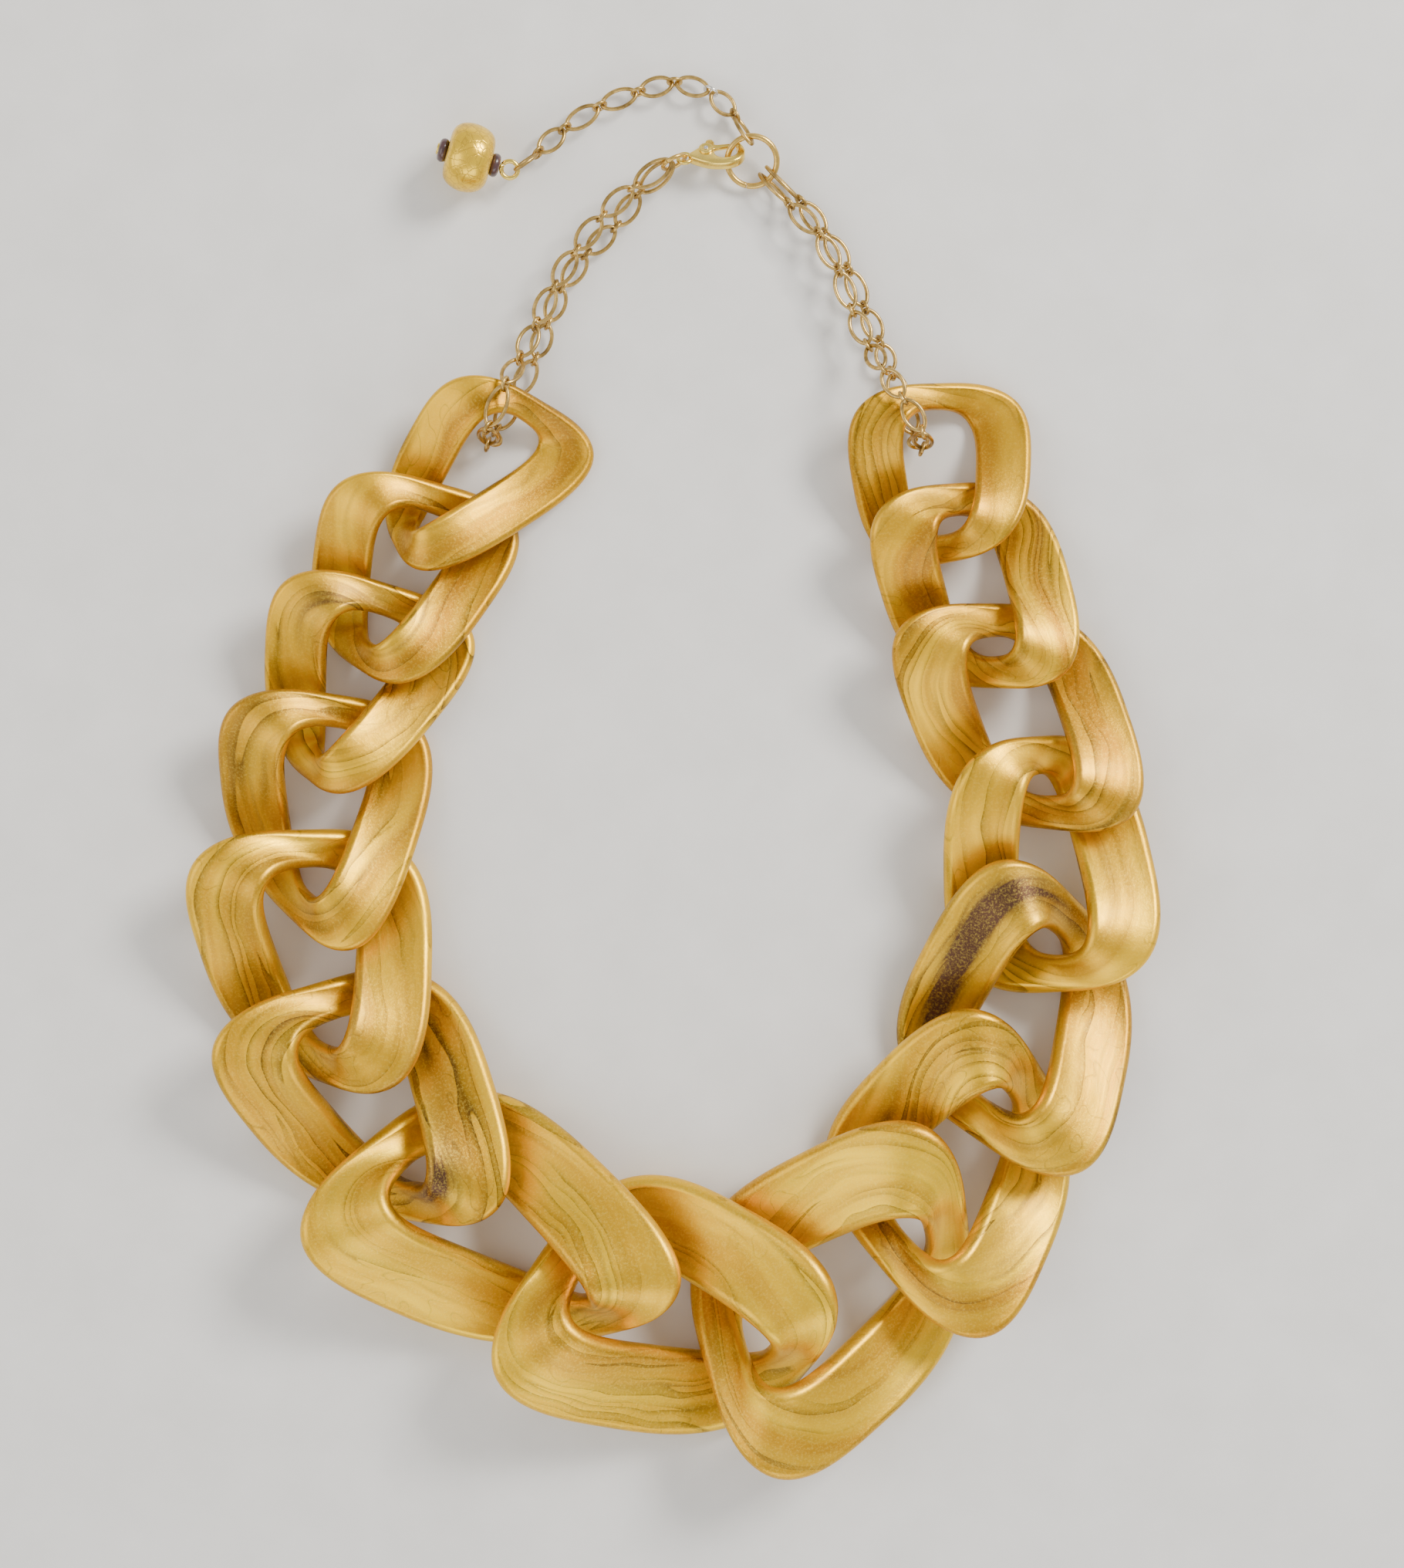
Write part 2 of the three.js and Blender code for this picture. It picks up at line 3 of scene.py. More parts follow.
import bpy
import numpy as np
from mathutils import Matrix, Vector


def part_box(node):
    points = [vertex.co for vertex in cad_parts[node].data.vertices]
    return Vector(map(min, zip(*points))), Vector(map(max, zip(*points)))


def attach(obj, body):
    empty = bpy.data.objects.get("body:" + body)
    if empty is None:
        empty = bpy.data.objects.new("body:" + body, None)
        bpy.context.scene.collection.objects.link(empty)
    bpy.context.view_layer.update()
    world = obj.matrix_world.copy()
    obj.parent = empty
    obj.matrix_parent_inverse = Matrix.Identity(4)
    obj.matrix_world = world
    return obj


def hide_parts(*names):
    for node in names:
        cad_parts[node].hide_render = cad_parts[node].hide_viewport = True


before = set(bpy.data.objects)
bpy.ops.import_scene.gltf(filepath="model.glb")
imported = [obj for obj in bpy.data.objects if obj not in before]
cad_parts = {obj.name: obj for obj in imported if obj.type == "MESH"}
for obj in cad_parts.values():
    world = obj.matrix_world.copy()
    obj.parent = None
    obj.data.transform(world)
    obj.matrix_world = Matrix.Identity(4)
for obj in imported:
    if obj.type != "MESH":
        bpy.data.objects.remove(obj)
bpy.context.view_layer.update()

# ---------------------------------------------------------------- lengths and places

MM = 0.001
LARGE_RING_CENTRE = np.array([13.3, 109.8, 3.4])
ring_low, ring_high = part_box("large_ring")
# The CAD moves everything so that the origin is mid footprint; this is that move, in mm.
SHIFT = np.array((ring_low + ring_high) / 2) / MM - LARGE_RING_CENTRE
SHIFT[2] = 0.0

# Clay links: band width, then the centre line's back outer, back inner, front inner and front
# outer corners, as in the CAD. A clearance search settled the corners, to keep neighbours apart;
# they aren't hand-picked. tone is how bright and golden the clay is, swirl how streaky. Each dark
# patch: where round the link and how far it spreads (degrees), where across the band and how far
# it spreads (shares of its half width), and its strength.
CLAY_LINKS = [
    dict(band=10.2, corners=[[-37, 70.5], [-15.5, 58], [-46.5, 36.5], [-52.5, 46]], tone=0.45, swirl=0.45),
    dict(band=11.4, corners=[[-58, 52.5], [-30.5, 45], [-50, 16], [-64, 24]], tone=0.45, swirl=0.4),
    dict(band=11.8, corners=[[-68, 35], [-38.5, 25.5], [-60.5, -3.5], [-71.5, 3]], tone=0.35, swirl=0.75,
         dark=[(215, 45, -0.2, 0.5, 1.0)]),
    dict(band=12.4, corners=[[-77.5, 12.5], [-47.5, 7.5], [-59.5, -32.5], [-77.5, -19.5]],
         tone=0.5, swirl=0.5),
    dict(band=14.2, corners=[[-84.5, -15], [-52, -15], [-52, -57], [-76.5, -52]], tone=0.55, swirl=0.5),
    dict(band=15.0, corners=[[-81.5, -47.5], [-48.5, -38.5], [-34, -79.5], [-61, -80]], tone=0.6, swirl=0.8,
         dark=[(40, 40, -0.6, 0.5, 1.6)]),
    dict(band=17.0, corners=[[-66.5, -81.5], [-40.5, -60.5], [-2, -94], [-26, -105.5]],
         tone=0.9, swirl=0.3),
    dict(band=17.2, corners=[[-32.5, -106.5], [-12.5, -78.5], [27, -96.5], [13, -120]],
         tone=0.95, swirl=0.35),
    dict(band=16.6, corners=[[15, -126.5], [3, -92], [45.5, -66], [52, -100]], tone=0.9, swirl=0.35),
    dict(band=15.6, corners=[[52, -102], [27.5, -76.5], [54.5, -45], [70.5, -68.5]], tone=0.7, swirl=0.7),
    dict(band=14.8, corners=[[69.5, -73], [42, -56.5], [59.5, -17.5], [80, -36]], tone=0.55, swirl=0.6,
         dark=[(70, 58, 0.1, 0.36, 3.2)]),
    dict(band=14.0, corners=[[82.5, -36], [56, -39.5], [54, 1.5], [76, 2.5]], tone=0.5, swirl=0.5),
    dict(band=12.6, corners=[[80.5, -9], [55.5, -8], [41, 26], [70.5, 27]], tone=0.4, swirl=0.6),
    dict(band=12.0, corners=[[68.5, 17], [47.5, 17], [37.5, 47], [62, 49.5]], tone=0.4, swirl=0.5),
    dict(band=10.3, corners=[[58, 41], [39.5, 38], [33.5, 66], [60, 68]], tone=0.4, swirl=0.45),
]
CORNER_POWER = 2.9
THICKNESS_RATIO = 0.275
LIFT_RATIO = 0.45
ROLL_DEGREES = 5
END_BAR_NARROWING = 0.48
PRESSED_FLAT = 0.5
LIP_ROUNDING = 0.85
DISH = 0.09
HAND_WOBBLE = 0.07
SURFACE_EASE = 0.18
FACE_POINTS = 15
LIP_POINTS = 9
LINK_STATIONS = 176
# Seeds of the small random waves along each link's edges and grain.
OUTER_WAVE_SEED = 100
INNER_WAVE_SEED = 200
GRAIN_WAVE_SEED = 300
GRAIN_WAVE = 3.0
GRAIN_DEPTH_SLANT = 0.6
# Every link cuts its grain from another place, this far from the last one's.
GRAIN_STEP = (91.7, -57.3, 33.1)

# Fine chain: each run is one CAD body, given by the points where its ovals meet.
CHAIN_RUNS = [
    dict(name="left_chain_loop", roll=12, start=True, end=True, points=[
        [-25.9, 80.2, 5.0], [-28.8, 73.9, 6.6], [-31.0, 68.6, 12.9], [-34.1, 60.8, 12.9],
        [-34.7, 58.4, 5.6], [-33.4, 61.2, 2.2], [-29.8, 67.4, 2.2], [-26.3, 74.2, 2.2],
        [-23.9, 80.8, 2.2]]),
    dict(name="left_front_strand", roll=14, start=False, end=True, points=[
        [-25.9, 80.2, 5.0], [-22.7, 87.0, 5.0], [-18.7, 93.5, 5.0]]),
    dict(name="left_back_strand", roll=14, start=False, end=True, points=[
        [-23.9, 80.8, 2.2], [-21.2, 87.3, 2.2], [-16.9, 93.2, 2.2]]),
    dict(name="left_front_strand_end", roll=14, start=False, end=False, points=[
        [-18.7, 93.5, 5.0], [-14.0, 99.6, 5.0], [-8.2, 104.9, 5.0], [-1.45, 109.4, 5.55]]),
    dict(name="left_back_strand_end", roll=14, start=False, end=False, points=[
        [-16.9, 93.2, 2.2], [-11.5, 98.2, 2.2], [-7.2, 104.2, 2.7], [-1.15, 109.4, 4.3]]),
    dict(name="right_chain_loop", roll=12, start=True, end=True, points=[
        [31.5, 82.7, 5.0], [34.3, 76.2, 6.6], [36.6, 71.4, 12.2], [40.2, 66.0, 13.6],
        [43.8, 60.0, 12.8], [44.2, 57.6, 5.6], [43.0, 60.4, 2.2], [41.0, 66.2, 2.2],
        [38.8, 71.6, 2.2], [36.7, 77.2, 2.2], [33.9, 83.5, 2.2]]),
    dict(name="right_front_strand", roll=14, start=False, end=True, points=[
        [31.5, 82.7, 5.0], [28.9, 89.9, 5.0], [25.4, 96.5, 5.0]]),
    dict(name="right_back_strand", roll=14, start=False, end=True, points=[
        [33.9, 83.5, 2.2], [30.9, 90.5, 2.2], [26.8, 96.8, 2.2]]),
    dict(name="right_front_strand_end", roll=14, end_roll=69, start=False, end=False, points=[
        [25.4, 96.5, 5.0], [20.0, 102.0, 4.0], [14.75, 107.7, 2.0]]),
    dict(name="right_back_strand_end", roll=14, end_roll=79, start=False, end=False, points=[
        [26.8, 96.8, 2.2], [22.2, 102.8, 2.2], [15.95, 108.85, 2.75]]),
    dict(name="extension_first", roll=67, end_roll=14, start=False, end=True, points=[
        [13.1, 112.55, 5.45], [10.2, 118.2, 2.45], [5.8, 122.6, 2.2]]),
    dict(name="extension_second", roll=14, start=False, end=True, points=[
        [5.8, 122.6, 2.2], [-0.8, 124.3, 2.2], [-7.4, 122.5, 2.2]]),
    dict(name="extension_third", roll=14, start=False, end=True, points=[
        [-7.4, 122.5, 2.2], [-14.4, 119.9, 2.2], [-20.8, 115.9, 2.2]]),
    dict(name="extension_last", roll=14, end_roll=72, start=False, end=False, points=[
        [-20.8, 115.9, 2.2], [-25.6, 111.4, 3.0], [-29.45, 107.9, 5.85]]),
]
OVAL_WIRE = 0.74
OVAL_WIDTH = 4.2
OVAL_END_INSET = 0.42
ROUND_WIRE = 0.62
ROUND_RADIUS = 1.2
ROUND_TILT = 72
ROUND_GAP_DEGREES = 3.0
ROUND_GAP_STEP = 97.0
OVAL_POINTEDNESS = 1.22
# This run's first oval reaches the ring itself, with no inset.
RING_STARTS = {"extension_first"}

CLASP_CENTRE = np.array([1.03, 110.15, 4.15])
CLASP_HEADING = 3
CLASP_ROLL = -39.5
LARGE_RING = dict(radius=4.5, wire=1.1, heading=-5, tilt=20)
JUMP_RING = dict(centre=np.array([-0.9, 109.35, 4.85]), radius=2.2, wire=0.8, heading=26, tilt=79.5)

BEAD_CENTRE = np.array([-37.9, 109.9, 6.3])
PIN_HEADING = 165
PIN_RISE = 8

# ---------------------------------------------------------------- mesh helpers


def rot(axis, degrees):
    """Rotation matrix about a unit axis."""
    axis = np.array(axis, float)
    axis /= np.linalg.norm(axis)
    a = math.radians(degrees)
    k = np.array([[0, -axis[2], axis[1]], [axis[2], 0, -axis[0]], [-axis[1], axis[0], 0]])
    return np.eye(3) + math.sin(a) * k + (1 - math.cos(a)) * (k @ k)


def make_object(name, points_mm, faces):
    mesh = bpy.data.meshes.new(name)
    verts = (np.asarray(points_mm, float) + SHIFT) * MM
    mesh.from_pydata([tuple(v) for v in verts], [], faces)
    mesh.validate()
    mesh.polygons.foreach_set("use_smooth", [True] * len(mesh.polygons))
    mesh.update()
    obj = bpy.data.objects.new(name, mesh)
    bpy.context.scene.collection.objects.link(obj)
    return obj


def grid_faces(rows, cols, wrap_rows=True):
    faces = []
    for i in range(rows if wrap_rows else rows - 1):
        for j in range(cols):
            a = i * cols + j
            b = ((i + 1) % rows) * cols + j
            c = ((i + 1) % rows) * cols + (j + 1) % cols
            d = i * cols + (j + 1) % cols
            faces.append((a, b, c, d))
    return faces


def add_vector_attribute(obj, name, values):
    attribute = obj.data.attributes.new(name, "FLOAT_VECTOR", "POINT")
    attribute.data.foreach_set("vector", np.asarray(values, np.float32).ravel())


def finish_piece(obj, body, material, nodes=()):
    obj.data.materials.clear()
    obj.data.materials.append(material)
    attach(obj, body)
    if nodes:
        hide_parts(*nodes)
    return obj


def signed_power(value, power):
    return np.sign(value) * np.abs(value) ** power


def smooth_noise(seed, angle, count, scale):
    """A small random wave round a loop, the same each run."""
    rng = np.random.default_rng(seed)
    total = np.zeros_like(angle)
    for k in range(1, count + 1):
        total += rng.normal() / k * np.cos(k * angle + rng.uniform(0, 2 * math.pi))
    return total * scale


# ---------------------------------------------------------------- material helpers


class Nodes:
    """Short calls for building a node tree."""

    def __init__(self, name):
        self.material = bpy.data.materials.new(name)
        self.material.use_nodes = True
        self.tree = self.material.node_tree
        self.tree.nodes.clear()
        self.output = self.tree.nodes.new("ShaderNodeOutputMaterial")
        self.shader = self.tree.nodes.new("ShaderNodeBsdfPrincipled")
        self.link(self.shader.outputs["BSDF"], self.output.inputs["Surface"])

    def link(self, a, b):
        self.tree.links.new(a, b)

    def put(self, value, socket):
        if isinstance(value, bpy.types.NodeSocket):
            self.link(value, socket)
        else:
            socket.default_value = value

    def attribute(self, name):
        node = self.tree.nodes.new("ShaderNodeAttribute")
        node.attribute_name = name
        return node

    def coordinates(self):
        return self.tree.nodes.new("ShaderNodeTexCoord").outputs["Object"]

    def math(self, operation, a, b=0.0, clamp=False):
        node = self.tree.nodes.new("ShaderNodeMath")
        node.operation = operation
        node.use_clamp = clamp
        self.put(a, node.inputs[0])
        self.put(b, node.inputs[1])
        return node.outputs[0]

    def scale_vector(self, vector, factors):
        node = self.tree.nodes.new("ShaderNodeVectorMath")
        node.operation = "MULTIPLY"
        self.put(vector, node.inputs[0])
        node.inputs[1].default_value = factors
        return node.outputs[0]

    def add_vectors(self, a, b):
        node = self.tree.nodes.new("ShaderNodeVectorMath")
        node.operation = "ADD"
        self.put(a, node.inputs[0])
        self.put(b, node.inputs[1])
        return node.outputs[0]

    def combine(self, x, y, z):
        node = self.tree.nodes.new("ShaderNodeCombineXYZ")
        for value, socket in zip((x, y, z), node.inputs):
            self.put(value, socket)
        return node.outputs[0]

    def separate(self, vector):
        node = self.tree.nodes.new("ShaderNodeSeparateXYZ")
        self.put(vector, node.inputs[0])
        return node.outputs

    def noise(self, vector, scale, detail, roughness):
        node = self.tree.nodes.new("ShaderNodeTexNoise")
        self.put(vector, node.inputs["Vector"])
        node.inputs["Scale"].default_value = scale
        node.inputs["Detail"].default_value = detail
        node.inputs["Roughness"].default_value = roughness
        return node.outputs[0]

    def cell_edges(self, vector, scale):
        node = self.tree.nodes.new("ShaderNodeTexVoronoi")
        node.feature = "DISTANCE_TO_EDGE"
        self.put(vector, node.inputs["Vector"])
        node.inputs["Scale"].default_value = scale
        return node.outputs[0]

    def ramp(self, value, stops):
        node = self.tree.nodes.new("ShaderNodeValToRGB")
        elements = node.color_ramp.elements
        while len(elements) < len(stops):
            elements.new(0.5)
        for element, (place, colour) in zip(elements, stops):
            element.position = place
            element.color = (*colour, 1)
        self.put(value, node.inputs[0])
        return node.outputs[0]

    def grey_ramp(self, value, *stops):
        return self.ramp(value, [(place, (level, level, level)) for place, level in stops])

    def mix(self, factor, a, b):
        node = self.tree.nodes.new("ShaderNodeMix")
        node.data_type = "RGBA"
        self.put(factor, node.inputs[0])
        self.put((*a, 1) if isinstance(a, tuple) else a, node.inputs[6])
        self.put((*b, 1) if isinstance(b, tuple) else b, node.inputs[7])
        return node.outputs[2]

    def map_range(self, value, low, high, out_low, out_high):
        node = self.tree.nodes.new("ShaderNodeMapRange")
        self.put(value, node.inputs[0])
        for k, number in enumerate((low, high, out_low, out_high)):
            node.inputs[k + 1].default_value = number
        return node.outputs[0]

    def bump(self, height, strength, distance, normal=None):
        node = self.tree.nodes.new("ShaderNodeBump")
        node.inputs["Strength"].default_value = strength
        node.inputs["Distance"].default_value = distance
        self.put(height, node.inputs["Height"])
        if normal is not None:
            self.link(normal, node.inputs["Normal"])
        return node.outputs[0]

    def set(self, **values):
        names = dict(
            color="Base Color", metallic="Metallic", roughness="Roughness", normal="Normal",
            coat="Coat Weight", coat_roughness="Coat Roughness",
        )
        for key, value in values.items():
            self.put(value, self.shader.inputs[names[key]])
        return self.material


# ---------------------------------------------------------------- materials


def clay_material():
    """Polymer clay: wood-like grain of ochre, brown and mauve along the band, gold mica specks painted
    bright as glints, varnish.

    The grain attribute holds a circle as long as the band (x, y, in mm) and the place across
    the band (z, in mm). The look attribute holds how golden, how streaky and how dark it is.
    """
    n = Nodes("clay")
    grain = n.attribute("grain").outputs["Vector"]
    golden, swirl, dark_patch = n.separate(n.attribute("look").outputs["Vector"])
    across = n.separate(grain)[2]

    # The grain runs along the band and wanders slowly from side to side.
    wander = n.noise(n.scale_vector(grain, (0.045, 0.045, 0.09)), 1.0, 2.0, 0.5)
    drift = n.noise(n.scale_vector(grain, (0.015, 0.015, 0.03)), 1.0, 1.0, 0.5)
    bend = n.math("ADD", n.math("MULTIPLY", wander, 7.0), n.math("MULTIPLY", drift, 9.0))
    level = n.math("ADD", across, bend)

    def along_grain(per_mm_across, per_mm_along, detail, roughness=0.5):
        flow = n.separate(n.scale_vector(grain, (per_mm_along, per_mm_along, 0.0)))
        place = n.combine(flow[0], flow[1], n.math("MULTIPLY", level, per_mm_across))
        return n.noise(place, 1.0, detail, roughness)

    broad = n.grey_ramp(along_grain(0.17, 0.012, 2.0), (0.34, 0.0), (0.66, 1.0))
    streaks = n.grey_ramp(along_grain(0.8, 0.03, 5.0, 0.58), (0.34, 0.0), (0.52, 0.4), (0.7, 1.0))
    gather = n.grey_ramp(along_grain(0.12, 0.02, 2.0), (0.48, 0.0), (0.66, 1.0))
    # Each grain line is sharp on one side and fades away on the other, like wood's.
    ridges = n.math("FRACT", n.math("MULTIPLY", along_grain(0.16, 0.006, 2.0), 9.0))
    lines = n.grey_ramp(ridges, (0.0, 0.0), (0.025, 1.0), (0.12, 0.6), (0.6, 0.0))
    broken = n.grey_ramp(along_grain(0.22, 0.035, 2.0), (0.40, 0.0), (0.56, 1.0))
    lines = n.math("MULTIPLY", lines, broken)

    # Here and there the grain closes into small loops.
    knots = n.noise(n.scale_vector(grain, (0.075, 0.075, 0.12)), 1.0, 1.5, 0.5)
    rings = n.math("ABSOLUTE", n.math("SINE", n.math("MULTIPLY", knots, 26.0)))
    loops = n.grey_ramp(rings, (0.0, 1.0), (0.06, 0.5), (0.2, 0.0))
    loops_here = n.noise(n.scale_vector(grain, (0.03, 0.03, 0.05)), 1.0, 1.0, 0.5)
    loops = n.math("MULTIPLY", loops, n.grey_ramp(loops_here, (0.52, 0.0), (0.6, 0.55)))

    shade = n.mix(golden, (0.46, 0.185, 0.004), (0.68, 0.345, 0.005))
    light = n.mix(golden, (0.96, 0.540, 0.008), (1.0, 0.640, 0.010))
    body = n.mix(broad, shade, light)
    brown = n.math("MULTIPLY", streaks, n.map_range(golden, 0, 1, 0.20, 0.06))
    body = n.mix(brown, body, (0.27, 0.115, 0.008))
    ink = n.math("MULTIPLY", n.math("MAXIMUM", lines, loops), n.map_range(swirl, 0, 1, 0.5, 1.0))
    body = n.mix(ink, body, (0.060, 0.024, 0.008))
    smoke = n.math("MULTIPLY", n.math("MULTIPLY", gather, streaks), n.math("MULTIPLY", swirl, 0.75))
    body = n.mix(smoke, body, (0.20, 0.105, 0.062))
    patch = n.math("MULTIPLY", dark_patch, n.map_range(streaks, 0, 1, 0.45, 1.0), clamp=True)
    body = n.mix(patch, body, (0.105, 0.050, 0.030))

    # Mica: fine specks of gold mica with a fine bump; their colour is brightened into painted glints
    # (painted highlights).
    glints = n.noise(n.coordinates(), 2300.0, 4.0, 0.75)
    glints = n.grey_ramp(glints, (0.48, 0.0), (0.70, 1.0))
    painted_mica_glints = n.math("MULTIPLY", glints, n.map_range(golden, 0, 1, 0.10, 0.55))
    # Painted glints: bright gold mixed into the colour at the mica specks.
    body = n.mix(painted_mica_glints, body, (1.0, 0.74, 0.10))
    roughness = n.map_range(streaks, 0, 1, 0.37, 0.47)
    relief = n.bump(streaks, 0.02, 0.0003)
    relief = n.bump(glints, 0.14, 0.0001, relief)
    dents = n.noise(n.coordinates(), 130.0, 3.0, 0.5)
    relief = n.bump(dents, 0.30, 0.0006, relief)
    return n.set(
        color=body, metallic=0.88, roughness=roughness, normal=relief,
        coat=0.04, coat_roughness=0.08,
    )


def seed_material():
    n = Nodes("seed")
    where = n.coordinates()
    mottled = n.noise(where, 900.0, 4.0, 0.6)
    body = n.ramp(mottled, [(0.3, (0.028, 0.012, 0.016)), (0.55, (0.075, 0.03, 0.034)),
                            (0.8, (0.16, 0.085, 0.06))])
    return n.set(color=body, roughness=n.map_range(mottled, 0, 1, 0.22, 0.4),
                 normal=n.bump(mottled, 0.2, 0.0001), metallic=0.0, coat=0.5, coat_roughness=0.15)


def leaf_material():
    """The bead's skin: bright metal leaf, crackled and rubbed to brown."""
    n = Nodes("leaf")
    where = n.coordinates()
    drift = n.noise(where, 260.0, 5.0, 0.65)
    shift = n.scale_vector(n.combine(drift, drift, drift), (0.0016, 0.0016, 0.0016))
    cracks = n.cell_edges(n.add_vectors(where, shift), 620.0)
    cracks = n.grey_ramp(cracks, (0.0, 1.0), (0.055, 0.25), (0.14, 0.0))
    worn = n.grey_ramp(n.noise(where, 330.0, 6.0, 0.72), (0.52, 0.0), (0.70, 1.0))
    gold = n.mix(drift, (0.86, 0.50, 0.02), (1.0, 0.70, 0.05))
    body = n.mix(n.math("MULTIPLY", cracks, 0.35), gold, (0.17, 0.095, 0.03))
    body = n.mix(n.math("MULTIPLY", worn, 0.5), body, (0.30, 0.15, 0.03))
    return n.set(
        color=body, metallic=0.8, roughness=n.map_range(worn, 0, 1, 0.26, 0.45),
        normal=n.bump(n.math("ADD", drift, n.math("MULTIPLY", cracks, -0.5)), 0.35, 0.00018),
        coat=0.06, coat_roughness=0.1,
    )


def metal_material(name, bright, mid, dark, roughness, wear, polish_scale=900.0):
    """Plated or antiqued metal with darker patina, fine scratches and soft polish marks."""
    n = Nodes(name)
    where = n.coordinates()
    cloud = n.noise(where, polish_scale, 4.0, 0.6)
    patina = n.grey_ramp(n.noise(where, polish_scale * 0.45, 5.0, 0.65), (0.42, 0.0), (0.7, 1.0))
    body = n.mix(cloud, mid, bright)
    body = n.mix(n.math("MULTIPLY", patina, wear), body, dark)
    scratches = n.noise(n.scale_vector(where, (1.0, 6.0, 1.0)), polish_scale * 2.6, 3.0, 0.7)
    return n.set(
        color=body, metallic=1.0,
        roughness=n.map_range(n.math("ADD", cloud, patina), 0.3, 1.6, roughness, roughness + 0.22),
        normal=n.bump(scratches, 0.12, 0.00005, n.bump(cloud, 0.15, 0.0001)),
    )


CLAY = clay_material()
SEED = seed_material()
LEAF = leaf_material()
BRASS = metal_material(
    "antique_brass", bright=(0.80, 0.56, 0.19), mid=(0.46, 0.29, 0.08), dark=(0.10, 0.055, 0.02),
    roughness=0.24, wear=0.75)
RING_BRASS = metal_material(
    "ring_brass", bright=(0.90, 0.62, 0.18), mid=(0.68, 0.43, 0.10), dark=(0.20, 0.115, 0.03),
    roughness=0.2, wear=0.5)
GOLD = metal_material(
    "bright_gold", bright=(1.0, 0.78, 0.20), mid=(0.90, 0.62, 0.10), dark=(0.42, 0.27, 0.08),
    roughness=0.14, wear=0.3, polish_scale=500.0)
# Silver metal for one brass round of the chain: a painted highlight.
PAINTED_HIGHLIGHT_SILVER = metal_material(
    "painted_highlight_silver", bright=(0.88, 0.86, 0.82), mid=(0.70, 0.68, 0.64), dark=(0.3, 0.27, 0.22),
    roughness=0.16, wear=0.3, polish_scale=500.0)
STEEL = metal_material(
    "pin_steel", bright=(0.72, 0.72, 0.72), mid=(0.55, 0.55, 0.55), dark=(0.2, 0.2, 0.2),
    roughness=0.25, wear=0.4)

# ---------------------------------------------------------------- clay links


def offset_corners(corners, side_offset, end_offset):
    """A four-cornered outline with its bars moved out (or in, when negative) from its middle."""
    corners = np.array(corners, float)
    middle = corners.mean(axis=0)
    bars = []
    for i in range(4):
        direction = corners[(i + 1) % 4] - corners[i]
        direction /= np.linalg.norm(direction)
        away = np.array([direction[1], -direction[0]])
        away *= np.sign(np.dot(corners[i] - middle, away))
        bars.append((corners[i] + away * (side_offset if i % 2 else end_offset), direction))
    moved = []
    for i in range(4):
        (place, along), (before, before_along) = bars[i], bars[i - 1]
        reach = np.cross(place - before, along) / np.cross(before_along, along)
        moved.append(before + before_along * reach)
    return np.array(moved)


def link_lines(link, turn):
    """At each turn: the band's middle, the way across it from hole to outside, and its lift's sign."""
    along = signed_power(np.cos(turn), 2 / CORNER_POWER)
    across = signed_power(np.sin(turn), 2 / CORNER_POWER)
    weights = np.stack([
        (1 - along) * (1 - across), (1 - along) * (1 + across),
        (1 + along) * (1 + across), (1 + along) * (1 - across)], axis=1) / 4
    side_half = link["band"] / 2
    end_half = side_half * (1 - END_BAR_NARROWING)
    outer = weights @ offset_corners(link["corners"], side_half, end_half)
    hole = weights @ offset_corners(link["corners"], -side_half, -end_half)
    saddle = along * across / 0.5 ** (2 / CORNER_POWER)
    middle = np.column_stack([(outer + hole) / 2, link["band"] * LIFT_RATIO * saddle])
    return middle, outer - hole, saddle


def band_section(outer, inner, half_thickness):
    """Across and up places of the band's outline: a slightly dished face with rounded lips."""
    radius = half_thickness * LIP_ROUNDING
    far, near = outer - radius, radius - inner
    face_share = np.sin(np.linspace(-math.pi / 2, math.pi / 2, FACE_POINTS))
    lip = np.radians(np.linspace(90, -90, LIP_POINTS + 2)[1:-1])
    across, up = [], []
    for side in (1, -1):
        start, end = (near, far) if side > 0 else (far, near)
        for share in face_share:
            across.append(start + (end - start) * (share + 1) / 2)
            up.append(side * half_thickness * (1 - DISH * (1 - abs(share) ** 4)))
        for angle in lip:
            across.append(end + side * radius * np.cos(angle))
            up.append(side * half_thickness * np.sin(angle))
    return np.stack(across, axis=1), np.stack(up, axis=1)


